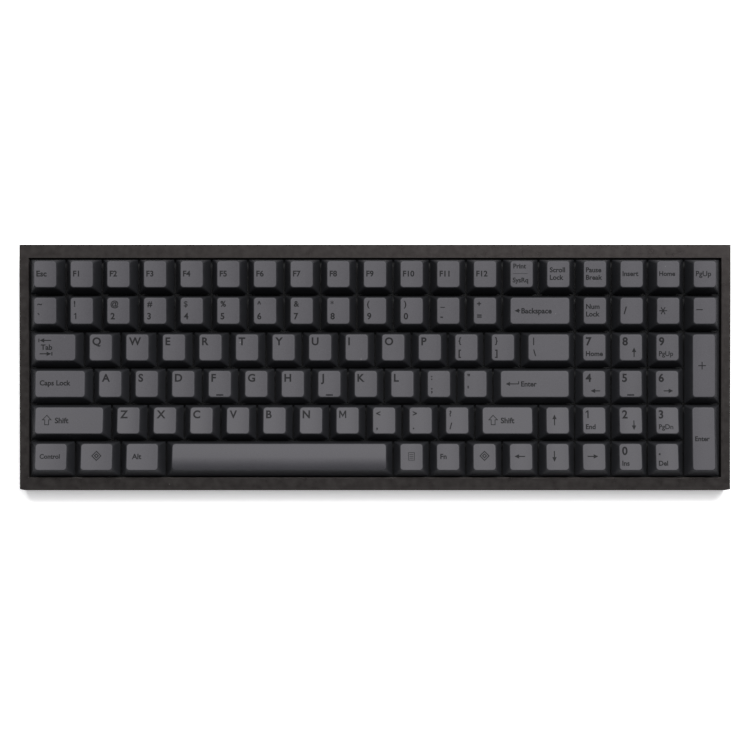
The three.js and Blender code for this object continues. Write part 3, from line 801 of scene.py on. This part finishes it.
marks = {}
for letter in "qwertyuiopasdfghjklzxcvbnm":
    marks[letter] = [(letter.upper(), LETTER_TALL, *LETTER_PLACE)]
pairs = ("grave ~ ` 1 ! 1 2 @ 2 3 # 3 4 $ 4 5 % 5 6 ^ 6 7 & 7 8 * 8 9 ( 9 0 ) 0 minus _ - equals + = "
         "left_bracket { [ right_bracket } ] backslash | \\ semicolon : ; quote \" ' comma < , "
         "period > . slash ? /").split()
for key, *signs in zip(pairs[::3], pairs[1::3], pairs[2::3]):
    inset = 2.6 if key == "backslash" else PAIR_X
    marks[key] = [(sign, size, inset, down)
                  for sign, size, down in zip(signs, PAIR_SIZES, PAIR_PLACES)]
for number in range(1, 13):
    marks[f"f{number}"] = [(f"F{number}", F_TALL, *F_PLACE)]
under = {0: "Ins", 1: "End", 3: "PgDn", 7: "Home", 9: "PgUp"}
for number in range(10):
    marks[f"num_{number}"] = [(str(number), DIGIT_TALL, *DIGIT_PLACE)]
    if number in under:
        marks[f"num_{number}"].append((under[number], UNDER_TALL, *UNDER_PLACE))
for number, turn, across, down in ((2, "down", 7.6, 0.68), (4, "left", 6.6, 0.76),
                                   (6, "right", 6.6, 0.76), (8, "up", 7.6, 0.68)):
    marks[f"num_{number}"].append((turn + "_arrow", 5.0, across, down))
for turn in ("up", "down", "left", "right"):
    marks[turn] = [(turn + "_arrow", 5.6, 5.3 if turn in ("left", "right") else 4.3, 0.48)]
marks["num_delete"] = [(".", DIGIT_TALL, *DIGIT_PLACE), ("Del", UNDER_TALL, *UNDER_PLACE)]
marks.update({
    "esc": [("Esc", F_TALL, *F_PLACE)],
    "insert": [("Insert", 2.5, 1.2, 0.48)],
    "home": [("Home", 2.35, 1.2, 0.48)],
    "page_up": [("PgUp", 2.7, 1.2, 0.48)],
    "print_screen": [("Print", 2.4, 1.6, 0.20), ("line", 0, 1.4, 0.48), ("SysRq", 2.4, 1.3, 0.72)],
    "scroll_lock": [("Scroll", 2.5, 1.5, 0.34), ("Lock", 2.5, 1.5, 0.62)],
    "pause": [("Pause", 2.5, 1.2, 0.34), ("Break", 2.5, 1.2, 0.62)],
    "num_lock": [("Num", 2.5, 1.3, 0.34), ("Lock", 2.5, 1.3, 0.62)],
    "backspace": [("left_arrow", 2.9, 3.7, 0.5), ("Backspace", 2.7, 5.8, 0.5)],
    "tab": [("stop_left", 6.8, 5.6, 0.24), ("Tab", 2.7, 3.2, 0.49), ("stop_right", 6.8, 5.6, 0.74)],
    "caps_lock": [("Caps Lock", 2.6, 2.4, 0.46)],
    "enter": [("return_arrow", 0, 6.3, 0.5), ("Enter", 2.6, 10.7, 0.5)],
    "left_shift": [("shift_arrow", 5.4, 6.2, 0.5), ("Shift", 2.8, 10.4, 0.5)],
    "right_shift": [("shift_arrow", 5.4, 5.6, 0.5), ("Shift", 2.8, 9.6, 0.5)],
    "left_control": [("Control", 2.3, 2.4, 0.48)],
    "left_super": [("super_mark", 5.4, 8.2, 0.46)],
    "right_super": [("super_mark", 5.4, 5.9, 0.46)],
    "left_alt": [("Alt", 2.7, 2.9, 0.48)],
    "menu": [("menu_mark", 0, 5.9, 0.48)],
    "fn": [("Fn", 2.6, 1.9, 0.48)],
    "divide": [("/", 3.6, 1.8, 0.48)],
    "multiply": [("asterisk", 4.2, 3.3, 0.50)],
    "subtract": [("minus_bar", 3.4, 3.2, 0.46)],
    "add": [("plus_bars", 4.0, 5.0, 0.5)],
    "num_enter": [("Enter", 2.45, 1.4, 0.5)],
})
ARROW_TURNS = {"right_arrow": 0, "up_arrow": 90, "left_arrow": 180, "down_arrow": 270}
STARS = {"minus_bar": 1, "plus_bars": 2, "asterisk": 3}
print("keys with marks:", len(marks))


def draw_mark(kind, size, x, y):
    """One mark: a word from x to the right, an arrow, star or icon about the point x, y."""
    if kind in ARROW_TURNS:
        return arrow(size, ARROW_TURNS[kind], x, y)
    if kind == "stop_left":
        return arrow(size - STOP_ROOM, 180, x, y, bar=True)
    if kind == "stop_right":
        return arrow(size - STOP_ROOM, 0, x, y, bar=True)
    if kind == "return_arrow":
        return return_arrow(x, y)
    if kind == "shift_arrow":
        return shift_arrow(x, y, size)
    if kind == "super_mark":
        return super_mark(x, y, size)
    if kind == "menu_mark":
        return menu_mark(x, y)
    if kind in STARS:
        return star(x, y, size, STARS[kind])
    if kind == "1":
        return numeral_one(size, x, y)
    if kind == "M":
        return letter_m(size, x, y)
    if kind == "line":
        return thin_line(x, y)
    return draw_word(kind, size, x, y)


# %% [markdown]
# A finished mark is lowered onto the top: each point takes the height of the surface under it, plus
# the ink's own thickness above or below. Joining a legend to its cap, as a second material of the
# same piece, makes them travel together.

# %% Lay the marks on a cap
def print_marks(bm, name, half_width, half_depth, level):
    """Adds the key's marks to its cap as thin solids of the second material."""
    for kind, size, across, down in marks.get(name, []):
        x = across - half_width
        y = TOP_SHIFT + half_depth - down * 2 * half_depth
        ink = draw_mark(kind, size, x, y)
        cut_across(ink, name, half_width, half_depth)
        bmesh.ops.dissolve_degenerate(ink, dist=SLIVER, edges=ink.edges)
        for vert in ink.verts:
            side = INK if vert.co.z > 0 else -INK
            vert.co.z = level(vert.co.x, vert.co.y) + side
        for face in ink.faces:
            face.material_index = 1
        sheet = bpy.data.meshes.new("ink")
        ink.to_mesh(sheet)
        ink.free()
        bm.from_mesh(sheet)
        bpy.data.meshes.remove(sheet)


# %% [markdown]
# ### Homing bars
# F, J and the 5 of the number pad have a small raised bar near the front edge, so a finger finds
# them without looking. It is moulded with the cap, so it has the cap's material.

# %% Homing bars
HOMING = {"f", "j", "num_5"}
HOMING_WIDTH, HOMING_DEPTH, HOMING_HEIGHT = 3.7, 0.7, 0.45
HOMING_PLACE = 0.91  # a share of the top's depth, from the back
HOMING_SINK, HOMING_ROUND = 0.1, 0.18


def homing_bar(bm, half_depth, level):
    """Adds the small rounded bar near the front of the top."""
    y = TOP_SHIFT + half_depth - HOMING_PLACE * 2 * half_depth
    place = Matrix.Translation((0, y, level(0, y) + HOMING_HEIGHT / 2 - HOMING_SINK)) @ Matrix.Diagonal(
        (HOMING_WIDTH, HOMING_DEPTH, HOMING_HEIGHT, 1))
    bar = bmesh.ops.create_cube(bm, size=1, matrix=place)["verts"]
    edges = {e for v in bar for e in v.link_edges}
    bmesh.ops.bevel(bm, geom=list(edges), offset=HOMING_ROUND, offset_type="OFFSET", segments=2,
                    profile=0.5, affect="EDGES", material=-1)


# %% [markdown]
# Now the hundred caps. Each is its own object and rides on its key's body. Keys that share a body press
# together, but they are still separate caps to the eye. An extrusion lists its new edges and faces in
# another order each time, so they are put in order first, and every run builds the same meshes.

# %% Build the keyboard's caps
def settle_order(bm):
    """Lists the edges and faces by their corners. Nothing moves."""
    bm.verts.index_update()
    for parts in (bm.edges, bm.faces):
        ranked = sorted(parts, key=lambda part: sorted(vert.index for vert in part.verts))
        places = {part: place for place, part in enumerate(ranked)}
        parts.sort(key=places.get)


for name, width, height, x, y, row in keys:
    bm, half_width, half_depth, level = cap_shell(name, width, height, row)
    hollow_out(bm, width, height, row)
    if name in HOMING:
        homing_bar(bm, half_depth, level)
    print_marks(bm, name, half_width, half_depth, level)
    settle_order(bm)
    bm.transform(DECK @ Matrix.Translation((x, y, SKIRT_LEVEL)))
    node = BODY_OF.get(name, "key_" + name)
    finish_piece("cap_" + name, bm, node, [node], [key_plastic, legend_dye])
cap_faces = [len(o.data.polygons) for o in scene.objects if o.name.startswith("cap_")]
print("caps:", len(cap_faces), "faces in all:", sum(cap_faces), "most:", max(cap_faces))

# %% [markdown]
# ## The case
# The frame and the tray under it are machined aluminium. Their CAD shape is right but has knife-sharp
# edges, which no real metal has. A copy of each is merged, its flat triangles dissolved into whole
# faces, and every sharp edge rounded, with a mark on the rounding for the paler rim colour, which is
# wear and a painted highlight. Faces that face up are marked too, for the frame's painted split into a
# dark glossy top and a paler matt wall.

# %% Round a CAD solid's edges
LYING = 0.98  # a face whose normal rises more than this counts as a top
FLAT, SHARP = math.radians(0.6), math.radians(35)  # triangles to dissolve, edges to round


def rounded_copy(node, name, radius, segments, material):
    """A piece made from a CAD solid, with its sharp edges rounded by radius, in millimetres."""
    bm = bmesh.new()
    bm.from_mesh(frame["nodes"][node].data)
    bmesh.ops.remove_doubles(bm, verts=bm.verts, dist=1e-6)
    bmesh.ops.dissolve_limit(bm, angle_limit=FLAT, verts=bm.verts, edges=bm.edges)
    rim = bm.verts.layers.float.new("rim")
    edges = [e for e in bm.edges if e.calc_face_angle(0) > SHARP]
    made = bmesh.ops.bevel(bm, geom=edges, offset=radius * MM, offset_type="OFFSET", segments=segments,
                           profile=0.5, affect="EDGES", material=-1, clamp_overlap=True)
    for vert in made["verts"]:
        vert[rim] = 1
    bmesh.ops.recalc_face_normals(bm, faces=bm.faces)
    # Painted light: faces that face up get the finish's top colour, so the frame's top and walls are lit
    # and shaded copies of one finish.
    painted_top_share = bm.verts.layers.float.new("top")
    for face in bm.faces:
        if face.normal.z > LYING:
            for vert in face.verts:
                vert[painted_top_share] = 1
    print(name, "edges rounded:", len(edges), "faces:", len(bm.faces))
    finish_piece(name, bm, "case", [node], [material])


rounded_copy("case_frame", "frame_rim", 0.35, 3, anodised)
rounded_copy("case_base", "tray", 0.3, 2, anodised)
rounded_copy("foot_front", "foot_pad_front", 0.5, 3, rubber)
rounded_copy("foot_back", "foot_pad_back", 0.5, 3, rubber)
rounded_copy("cable_socket", "socket_shell", 0.1, 2, plated_steel)

# %% [markdown]
# The plate, the switches, the board and the screws keep their CAD shapes, since they are seen only
# between the caps or from below. They get the finishes made for them.

# %% Finishes for the CAD pieces that stay
for node, material in (
    ("switch_plate", plate_steel),
    ("switch_housings", housing_plastic),
    ("circuit_board", laminate),
    ("screw_front_left", screw_steel),
    ("screw_front_right", screw_steel),
    ("screw_back_left", screw_steel),
    ("screw_back_right", screw_steel),
):
    part = frame["nodes"][node]
    part.data.materials.clear()
    part.data.materials.append(material)

# %% [markdown]
# ## The size
# The looks must not change the object's size, so the CAD's box and the finished model's are both
# printed.

# %% Write the two boxes
visual_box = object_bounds()
for label, (low, high) in (("cad", cad_box), ("visual", visual_box)):
    print(label, "size in mm:", [round((b - a) / MM, 2) for a, b in zip(low, high)])
